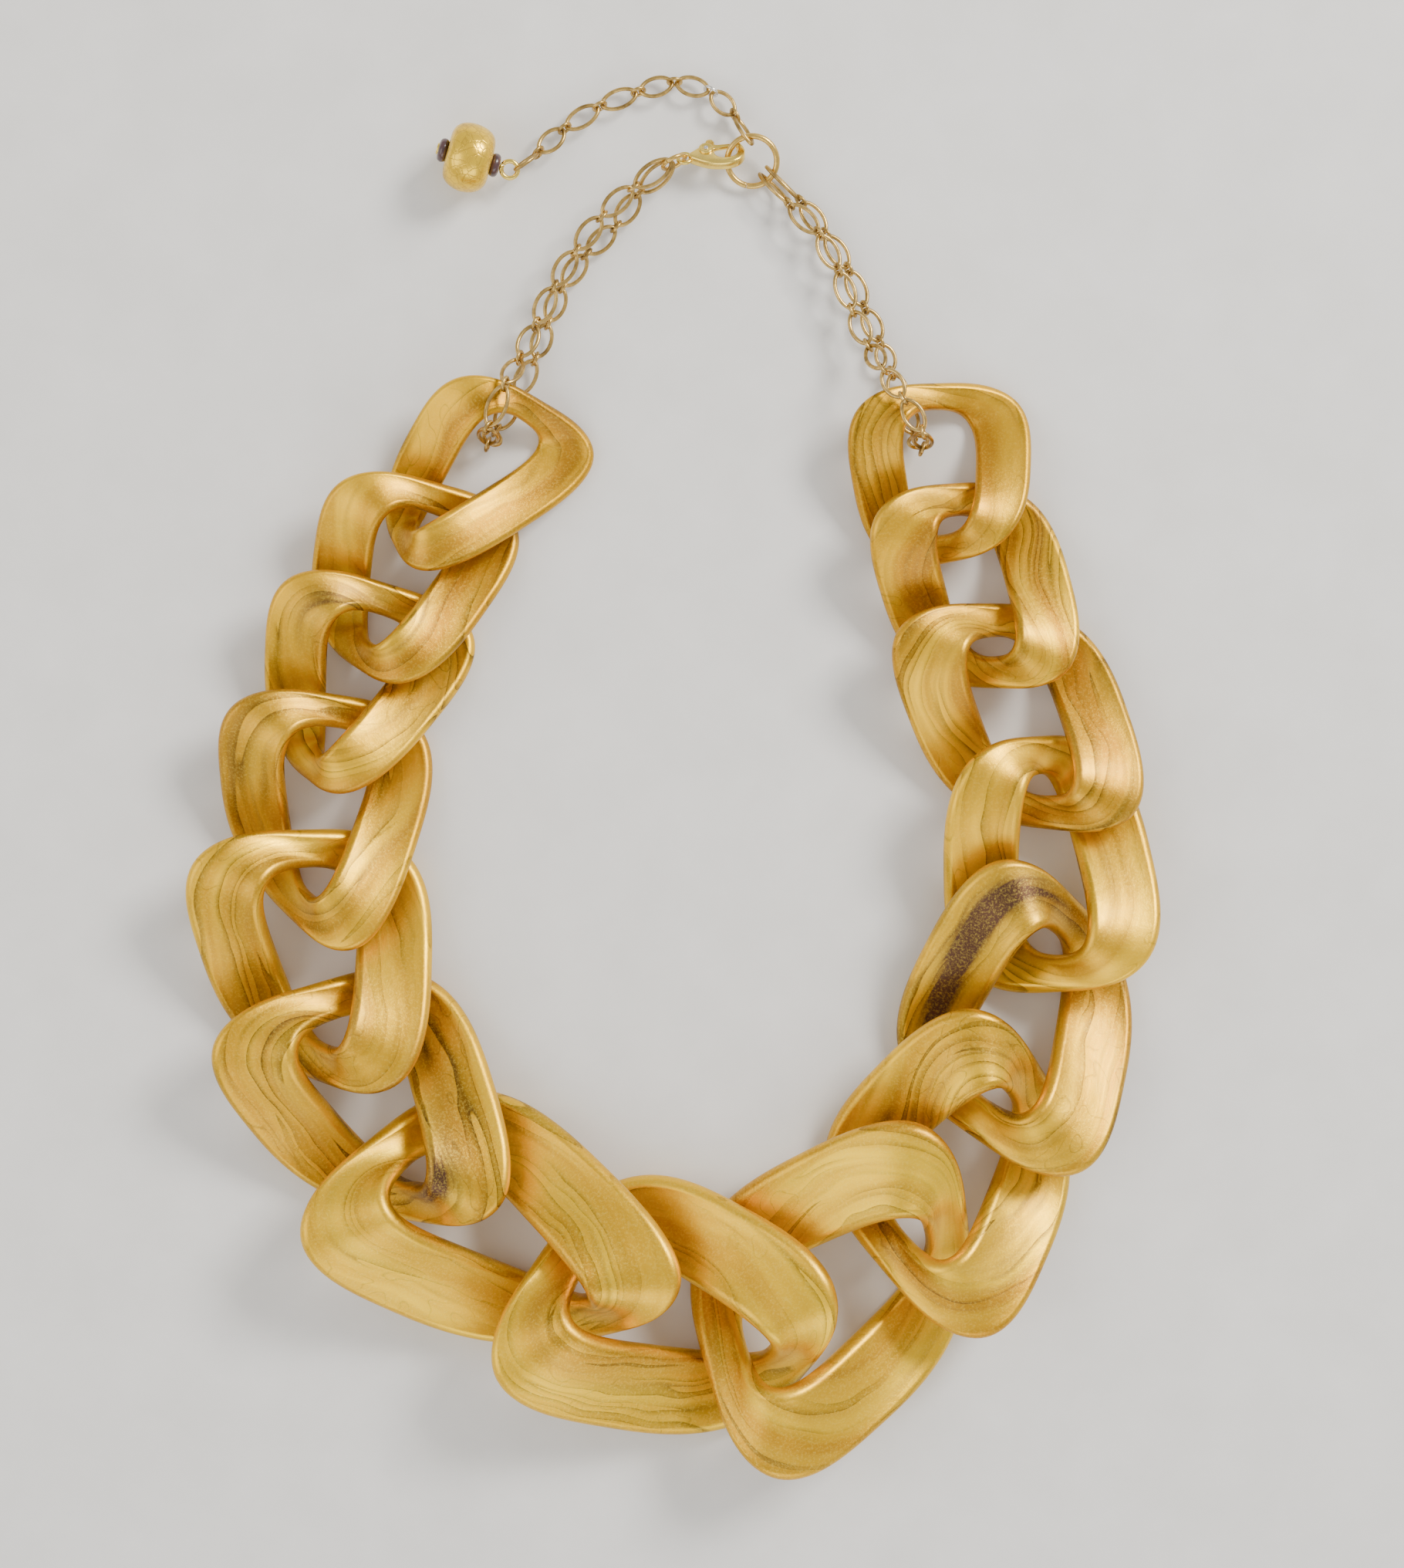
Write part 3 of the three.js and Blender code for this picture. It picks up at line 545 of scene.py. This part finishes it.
def clay_link(index, link):
    stations = LINK_STATIONS
    sides = 2 * (FACE_POINTS + LIP_POINTS)
    # Stations are spaced evenly along the line, so that the corners stay smooth.
    dense = np.linspace(0, 2 * math.pi, 2881)
    line, _, _ = link_lines(link, dense)
    lengths = np.concatenate([[0], np.cumsum(np.linalg.norm(np.diff(line, axis=0), axis=1))])
    even = np.linspace(0, lengths[-1], stations, endpoint=False)
    turn = np.interp(even, lengths, dense)
    points, span, saddle = link_lines(link, turn)
    tangent = np.roll(points, -2, axis=0) - np.roll(points, 2, axis=0)
    tangent /= np.linalg.norm(tangent, axis=1)[:, None]
    half_width = np.linalg.norm(span, axis=1) / 2
    outward = np.column_stack([span / half_width[:, None] / 2, np.zeros(stations)])
    face = np.cross(outward, tangent)
    face /= np.linalg.norm(face, axis=1)[:, None]
    roll = np.radians(ROLL_DEGREES) * saddle
    cosine, sine = np.cos(roll)[:, None], np.sin(roll)[:, None]
    rolled_outward = outward * cosine + np.cross(tangent, outward) * sine
    rolled_face = face * cosine + np.cross(tangent, face) * sine
    loop_angle = even / lengths[-1] * 2 * math.pi
    outer = half_width - SURFACE_EASE + smooth_noise(OUTER_WAVE_SEED + index, loop_angle, 4, HAND_WOBBLE)
    inner = half_width - SURFACE_EASE + smooth_noise(INNER_WAVE_SEED + index, loop_angle, 4, HAND_WOBBLE)
    half_thickness = (link["band"] * THICKNESS_RATIO / 2 - SURFACE_EASE) * np.ones(stations)
    wide, thick = band_section(outer, inner, half_thickness)
    verts = (points[:, None, :] + rolled_outward[:, None, :] * wide[..., None]
             + rolled_face[:, None, :] * thick[..., None])
    lowest = verts[..., 2].min()
    verts[..., 2] += -lowest - PRESSED_FLAT
    verts[..., 2] = np.maximum(verts[..., 2], 0.0)
    verts = verts.reshape(-1, 3)
    name = f"clay_link_{index + 1:02d}"
    obj = make_object(name + "_clay", verts, grid_faces(stations, sides))
    # Grain runs round the link: a circle as long as the band, and the place across it.
    radius = lengths[-1] / (2 * math.pi)
    angle = np.repeat(loop_angle, sides)
    skew = np.repeat(smooth_noise(GRAIN_WAVE_SEED + index, loop_angle, 3, GRAIN_WAVE), sides)
    place = wide.ravel()
    depth = thick.ravel()
    grain = np.column_stack([
        radius * np.cos(angle) + GRAIN_STEP[0] * index,
        radius * np.sin(angle) + GRAIN_STEP[1] * index,
        place + GRAIN_DEPTH_SLANT * depth + skew + GRAIN_STEP[2] * index])
    add_vector_attribute(obj, "grain", grain)
    dark = np.zeros(len(verts))
    for centre, spread, across_at, across_spread, strength in link.get("dark", []):
        gap = np.angle(np.exp(1j * (np.repeat(turn, sides) - math.radians(centre))))
        share = place / (link["band"] / 2)
        along_fade = np.exp(-(gap / math.radians(spread)) ** 2)
        across_fade = np.exp(-((share - across_at) / across_spread) ** 2)
        dark += strength * along_fade * across_fade
    look = np.column_stack([np.full(len(verts), link["tone"]), np.full(len(verts), link["swirl"]), dark])
    add_vector_attribute(obj, "look", look)
    return finish_piece(obj, name, CLAY, [name])


# ---------------------------------------------------------------- wire loops and chain


def wire_loop(name, centre, along, across, half_length, half_width, wire, stations=56, sides=12,
              pointed=1.0, open_degrees=0.0, open_at=0.0):
    """A closed (or cut) loop of round wire in the plane of two unit vectors."""
    centre, along, across = (np.array(v, float) for v in (centre, along, across))
    normal = np.cross(along, across)
    if open_degrees:
        half_gap = math.radians(open_degrees) / 2
        turn = np.linspace(half_gap, 2 * math.pi - half_gap, stations) + math.radians(open_at)
    else:
        turn = np.arange(stations) / stations * 2 * math.pi

    def at(angle):
        return (centre + np.outer(half_length * np.cos(angle), along)
                + np.outer(half_width * signed_power(np.sin(angle), pointed), across))

    middle = at(turn)
    step = 0.01
    tangent = at(turn + step) - at(turn - step)
    tangent /= np.linalg.norm(tangent, axis=1)[:, None]
    outward = np.cross(tangent, normal)
    outward /= np.linalg.norm(outward, axis=1)[:, None]
    phi = np.arange(sides) / sides * 2 * math.pi
    verts = (middle[:, None, :]
             + outward[:, None, :] * (np.cos(phi)[None, :, None] * wire / 2)
             + normal[None, None, :] * (np.sin(phi)[None, :, None] * wire / 2))
    faces = grid_faces(stations, sides, wrap_rows=not open_degrees)
    if open_degrees:
        last = (stations - 1) * sides
        faces.append(tuple(range(sides)))
        faces.append(tuple(reversed(range(last, last + sides))))
    return make_object(name, verts.reshape(-1, 3), faces)


def sideways(along, roll):
    upright = abs(along[2]) > 0.8
    reference = np.array([0.0, 1.0, 0.0]) if upright else np.array([0.0, 0.0, 1.0])
    across = np.cross(reference, along)
    across /= np.linalg.norm(across)
    return rot(along, roll) @ across


def beyond(run, end):
    """The next run's second point, so that a shared round lies in line with both runs."""
    shared = run["points"][end]
    for other in CHAIN_RUNS:
        if other is not run and other["points"][0] == shared:
            return np.array(other["points"][1], float)
    return np.array(shared, float)


def chain_run(run):
    points = [np.array(p, float) for p in run["points"]]
    last = len(points) - 1
    pieces = []
    for k in range(last):
        along = points[k + 1] - points[k]
        pitch = np.linalg.norm(along)
        along /= pitch
        # At a ring with no round of its own the oval reaches the ring itself.
        at_ring = k == 0 and run["name"] in RING_STARTS
        first_inset = 0.0 if at_ring else OVAL_END_INSET
        end_inset = 0.0 if k == last - 1 and not run["end"] else OVAL_END_INSET
        half = (pitch - first_inset - end_inset) / 2
        centre = points[k] + along * (first_inset + half)
        share = k / (last - 1) if last > 1 else 0
        roll = run["roll"] + (run.get("end_roll", run["roll"]) - run["roll"]) * share
        across = sideways(along, roll)
        pieces.append(wire_loop(
            f"{run['name']}_oval_{k + 1}", centre, along, across, half,
            (OVAL_WIDTH - OVAL_WIRE) / 2, OVAL_WIRE, pointed=OVAL_POINTEDNESS))
    for k in range(last + 1):
        if (k == 0 and not run["start"]) or (k == last and not run["end"]):
            continue
        before = beyond(run, 0) if k == 0 else points[k - 1]
        after = beyond(run, last) if k == last else points[k + 1]
        along = after - before
        along /= np.linalg.norm(along)
        across = sideways(along, -ROUND_TILT)
        pieces.append(wire_loop(
            f"{run['name']}_round_{k + 1}", points[k], along, across, ROUND_RADIUS, ROUND_RADIUS,
            ROUND_WIRE, stations=36, sides=10, open_degrees=ROUND_GAP_DEGREES,
            open_at=ROUND_GAP_STEP * k))
    for i, piece in enumerate(pieces):
        # One round of the first extension run is given silver metal instead of brass: a painted highlight.
        bright = run["name"] == "extension_first" and piece.name.endswith("round_3")
        finish_piece(piece, run["name"], PAINTED_HIGHLIGHT_SILVER if bright else BRASS,
                     [run["name"]] if i == 0 else [])


for i, link in enumerate(CLAY_LINKS):
    clay_link(i, link)
for run in CHAIN_RUNS:
    chain_run(run)

# ---------------------------------------------------------------- rings


def tipped_ring(name, centre, ring, material, open_degrees, open_at):
    heading = math.radians(ring["heading"])
    along = np.array([math.cos(heading), math.sin(heading), 0.0])
    level = np.array([-math.sin(heading), math.cos(heading), 0.0])
    across = rot(along, ring["tilt"]) @ level
    obj = wire_loop(name + "_wire", centre, along, across, ring["radius"], ring["radius"],
                    ring["wire"], stations=120, sides=20, open_degrees=open_degrees, open_at=open_at)
    return finish_piece(obj, name, material, [name])


tipped_ring("large_ring", LARGE_RING_CENTRE, LARGE_RING, RING_BRASS, 1.0, 262.0)
tipped_ring("jump_ring", JUMP_RING["centre"], JUMP_RING, RING_BRASS, 2.0, 120.0)

# ---------------------------------------------------------------- clasp

CLASP_TURN = rot((0, 0, 1), CLASP_HEADING) @ rot((1, 0, 0), CLASP_ROLL)


def clasp_place(points):
    return np.asarray(points, float) @ CLASP_TURN.T + CLASP_CENTRE


def rounded_outline(points):
    """A smooth closed line through the points."""
    per_span = 8
    points = np.array(points, float)
    count = len(points)
    line = []
    for i in range(count):
        a, b, c, d = (points[(i + k) % count] for k in (-1, 0, 1, 2))
        for s in np.arange(per_span) / per_span:
            line.append(0.5 * ((2 * b) + (c - a) * s + (2 * a - 5 * b + 4 * c - d) * s ** 2
                               + (3 * b - a - 3 * c + d) * s ** 3))
    return np.array(line)


def cast_plate(name, outline, half, edge):
    """A cast metal plate: the outline with its edges rounded over by "edge", both faces."""
    line = rounded_outline(outline)
    tangent = np.roll(line, -1, axis=0) - np.roll(line, 1, axis=0)
    tangent /= np.linalg.norm(tangent, axis=1)[:, None]
    inward = np.column_stack([-tangent[:, 1], tangent[:, 0]])
    area = np.sum(line[:, 0] * np.roll(line[:, 1], -1) - np.roll(line[:, 0], -1) * line[:, 1])
    if area < 0:
        inward = -inward
    levels = []
    for angle in np.linspace(-90, 90, 13):
        a = math.radians(angle)
        inset = edge * (1 - math.cos(a))
        height = (half - edge) * np.sign(angle) + edge * math.sin(a) if angle else 0.0
        levels.append(np.column_stack([line + inward * inset, np.full(len(line), height)]))
    verts = np.concatenate(levels)
    count = len(line)
    faces = grid_faces(len(levels), count, wrap_rows=False)
    faces.append(tuple(range(count)) if area < 0 else tuple(reversed(range(count))))
    top = (len(levels) - 1) * count
    lid = range(top, top + count)
    faces.append(tuple(lid) if area > 0 else tuple(reversed(lid)))
    if area > 0:
        faces = [tuple(reversed(f)) if len(f) == 4 else f for f in faces]
    return make_object(name, clasp_place(verts), faces)


CLASP_BODY = [
    [0.9, -0.45], [2.2, -1.35], [3.9, -2.2], [5.8, -2.62], [8.0, -2.6], [9.8, -1.9], [10.8, -0.6],
    [11.0, 0.7], [10.6, 2.0], [9.9, 2.85], [9.45, 2.2], [9.75, 0.9], [9.3, -0.4], [8.1, -1.0],
    [6.5, -0.95], [5.6, -0.1], [5.3, 1.3], [4.6, 2.45], [3.3, 2.35], [2.0, 1.35], [0.9, 0.45],
]
CLASP_LEVER = [
    [3.3, 0.8], [4.0, 0.35], [4.8, 0.8], [5.5, 1.75], [7.2, 2.15], [9.0, 2.35], [9.05, 2.95],
    [7.2, 2.95], [5.7, 2.95], [5.5, 3.8], [5.0, 4.4], [4.2, 4.3], [3.85, 3.5], [3.6, 2.5], [3.15, 1.7],
]
LEVER_POST = (4.0, 1.2)
NEAR_AXIS = 0.001
TAIL_RADIUS = 1.2
TAIL_WIRE = 0.8


def turned(name, profile, place, segments=40):
    """A shape turned about local +Z from a closed (radius, height) line."""
    profile = np.array(profile, float)
    angle = np.arange(segments) / segments * 2 * math.pi
    verts = np.stack([
        np.outer(np.cos(angle), profile[:, 0]),
        np.outer(np.sin(angle), profile[:, 0]),
        np.outer(np.ones(segments), profile[:, 1])], axis=-1).reshape(-1, 3)
    faces = grid_faces(segments, len(profile))
    return make_object(name, place(verts), faces)


def dome_profile(radius, half, edge):
    """Half section of a disc or rivet with rounded rims, from the axis out and back."""
    steps = 5
    line = [[NEAR_AXIS, -half]]
    for k in range(steps + 1):
        a = math.radians(-90 + 90 * k / steps)
        line.append([radius - edge + edge * math.cos(a), -half + edge + edge * math.sin(a)])
    for k in range(steps + 1):
        a = math.radians(90 * k / steps)
        line.append([radius - edge + edge * math.cos(a), half - edge + edge * math.sin(a)])
    line.append([NEAR_AXIS, half])
    return line


def at_post(points):
    points = np.array(points, float)
    points[:, :2] += LEVER_POST
    return clasp_place(points)


body = cast_plate("clasp_body_cast", CLASP_BODY, 0.95, 0.42)
finish_piece(body, "clasp", GOLD, ["clasp_body"])
boss_post = turned("clasp_boss", dome_profile(1.35, 1.32, 0.22), at_post)
finish_piece(boss_post, "clasp", GOLD)
tail = wire_loop("clasp_tail", CLASP_CENTRE, CLASP_TURN[:, 0], CLASP_TURN[:, 1],
                 TAIL_RADIUS, TAIL_RADIUS, TAIL_WIRE, stations=60, sides=16)
finish_piece(tail, "clasp", GOLD)
lever = cast_plate("clasp_lever_cast", CLASP_LEVER, 0.42, 0.2)
finish_piece(lever, "clasp_lever", GOLD, ["clasp_lever"])
rivet = turned("clasp_rivet", dome_profile(0.42, 1.42, 0.14), at_post)
finish_piece(rivet, "clasp", STEEL, ["clasp_pin"])
spring_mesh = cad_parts["clasp_spring"].data
spring_mesh.materials.clear()
spring_mesh.materials.append(STEEL)

# ---------------------------------------------------------------- bead and headpin

PIN_TURN = rot((0, 0, 1), PIN_HEADING - 90) @ rot((1, 0, 0), PIN_RISE)
BEAD = dict(radius=6.3, length=8.4, bore=0.7)
SEED_BEAD = dict(radius=2.15, length=1.8, bore=0.7)
SEED_GAP = -0.3
PIN_RADIUS = 0.42
PIN_NECK = 0.7
PIN_LOOP_RADIUS = 1.5
PIN_LOOP_ROLL = -11
PIN_TIP = 0.3
PIN_HEAD_RADIUS = 1.05
BORE_RIM = 0.25
WRAP_WIRE = 0.4
WRAP_PLACE = 0.15
WRAP_REACH = 0.18


def pin_place(points):
    """From the pin's own frame, +Y towards its head."""
    return np.asarray(points, float) @ PIN_TURN.T + BEAD_CENTRE


def along_pin(offset):
    """Placer for shapes turned about +Z: their axis goes along the pin."""
    def place(points):
        points = np.asarray(points, float)
        return pin_place(np.column_stack([points[:, 0], points[:, 2] + offset, -points[:, 1]]))
    return place


def bead_profile(size, fullness, steps=30):
    line = [[size["bore"], -size["length"] / 2 + BORE_RIM]]
    for k in range(1, steps):
        a = math.pi * k / steps
        reach = math.sin(a) ** fullness
        line.append([size["bore"] + (size["radius"] - size["bore"]) * reach,
                     -math.cos(a) * size["length"] / 2])
    line.append([size["bore"], size["length"] / 2 - BORE_RIM])
    return line


def wobble(obj, seed, amount_mm):
    """A little hand-made unevenness, always inwards."""
    rng = np.random.default_rng(seed)
    centre = Vector((BEAD_CENTRE + SHIFT) * MM)
    waves = [(Vector(rng.normal(size=3)).normalized(), rng.uniform(0, 6)) for _ in range(6)]
    for v in obj.data.vertices:
        away = v.co - centre
        if away.length < 1e-9:
            continue
        value = sum(math.sin(7 * w.dot(away.normalized()) + p) for w, p in waves) / len(waves)
        v.co -= away * (amount_mm * MM * (0.5 + 0.5 * value) / away.length)


bead = turned("bead_clay", bead_profile(BEAD, 0.46), along_pin(0.0), segments=96)
wobble(bead, 5, 0.22)
finish_piece(bead, "bead", LEAF, ["bead"])
seed_offset = BEAD["length"] / 2 + SEED_GAP + SEED_BEAD["length"] / 2
for name, offset in (("seed_bead_inner", -seed_offset), ("seed_bead_outer", seed_offset)):
    seed = turned(name + "_glass", bead_profile(SEED_BEAD, 0.6, 14), along_pin(offset), segments=40)
    finish_piece(seed, name, SEED, [name])

seed_reach = BEAD["length"] / 2 + 2 * SEED_GAP + SEED_BEAD["length"]
head_at = seed_reach + PIN_TIP
loop_at = -seed_reach - PIN_LOOP_RADIUS - PIN_NECK
shaft_start = loop_at + PIN_LOOP_RADIUS
shaft_middle = (shaft_start + head_at) / 2
shaft = turned("headpin_shaft", dome_profile(PIN_RADIUS, (head_at - shaft_start) / 2, 0.1),
               along_pin(shaft_middle), segments=20)
finish_piece(shaft, "headpin", GOLD, ["headpin"])
head = turned("headpin_head", dome_profile(PIN_HEAD_RADIUS, 0.3, 0.22), along_pin(head_at), segments=36)
finish_piece(head, "headpin", GOLD)
loop_side = PIN_TURN @ np.array([math.cos(math.radians(PIN_LOOP_ROLL)), 0,
                                 -math.sin(math.radians(PIN_LOOP_ROLL))])
loop = wire_loop("headpin_loop", pin_place([[0, loop_at, 0]])[0], PIN_TURN[:, 1], loop_side,
                 PIN_LOOP_RADIUS, PIN_LOOP_RADIUS, 2 * PIN_RADIUS, stations=72, sides=14,
                 open_degrees=6, open_at=20)
finish_piece(loop, "headpin", GOLD)
# The pin's end is wrapped once round its own neck.
wrap_centre = pin_place([[0, shaft_start + WRAP_PLACE, 0]])[0]
wrap = wire_loop("headpin_wrap_1", wrap_centre, PIN_TURN[:, 0], PIN_TURN[:, 2],
                 PIN_RADIUS + WRAP_REACH, PIN_RADIUS + WRAP_REACH, WRAP_WIRE, stations=40, sides=10)
finish_piece(wrap, "headpin", GOLD)

# ---------------------------------------------------------------- floor, light and camera


def floor_material():
    n = Nodes("floor")
    paper = n.noise(n.coordinates(), 60.0, 5.0, 0.6)
    return n.set(color=n.ramp(paper, [(0.3, (0.74, 0.735, 0.72)), (0.7, (0.80, 0.795, 0.785))]),
                 roughness=0.85)


def make_floor():
    bpy.ops.mesh.primitive_grid_add(x_subdivisions=8, y_subdivisions=8, size=4)
    floor = bpy.context.object
    floor.name = "floor"
    floor.data.materials.append(floor_material())


def area_light(name, place, size, power, colour=(1, 1, 1)):
    """A soft rectangular light that faces the middle of the necklace."""
    light = bpy.data.lights.new(name, "AREA")
    light.shape = "RECTANGLE"
    light.size, light.size_y = size
    light.energy = power
    light.color = colour
    obj = bpy.data.objects.new(name, light)
    bpy.context.scene.collection.objects.link(obj)
    obj.location = place
    obj.rotation_mode = "QUATERNION"
    obj.rotation_quaternion = (-Vector(place)).to_track_quat("-Z", "Y")


def make_world():
    world = bpy.data.worlds.new("studio")
    world.use_nodes = True
    background = world.node_tree.nodes["Background"]
    background.inputs[0].default_value = (1.0, 0.975, 0.93, 1)
    background.inputs[1].default_value = 0.74
    bpy.context.scene.world = world


CAMERA_DISTANCE = 0.5
CAMERA_TILT = math.radians(2.55)
CAMERA_TARGET = (4.2, -3.2, 9.0)
VIEW_HEIGHT = 284.48
SENSOR_WIDTH = 36


def make_camera():
    # Nearly straight down, tipped so that the clasp end is slightly nearer.
    target = Vector(np.array(CAMERA_TARGET) + SHIFT) * MM
    camera = bpy.data.cameras.new("camera")
    obj = bpy.data.objects.new("camera", camera)
    bpy.context.scene.collection.objects.link(obj)
    away = Vector((0, math.sin(CAMERA_TILT), math.cos(CAMERA_TILT)))
    obj.location = target + away * CAMERA_DISTANCE
    obj.rotation_euler = (-CAMERA_TILT, 0, 0)
    camera.sensor_width = SENSOR_WIDTH
    camera.lens = SENSOR_WIDTH * CAMERA_DISTANCE / (VIEW_HEIGHT * MM)
    camera.clip_start = 0.01
    camera.clip_end = 20
    bpy.context.scene.camera = obj


make_floor()
make_world()
area_light("key", (0.75, 0.62, 0.75), (0.45, 0.35), 17.0, (1.0, 0.97, 0.92))
area_light("fill", (-0.9, -0.1, 0.8), (1.0, 1.0), 6.0, (1.0, 0.97, 0.93))
area_light("front", (0.1, -1.1, 0.7), (1.2, 0.6), 5.0)
make_camera()
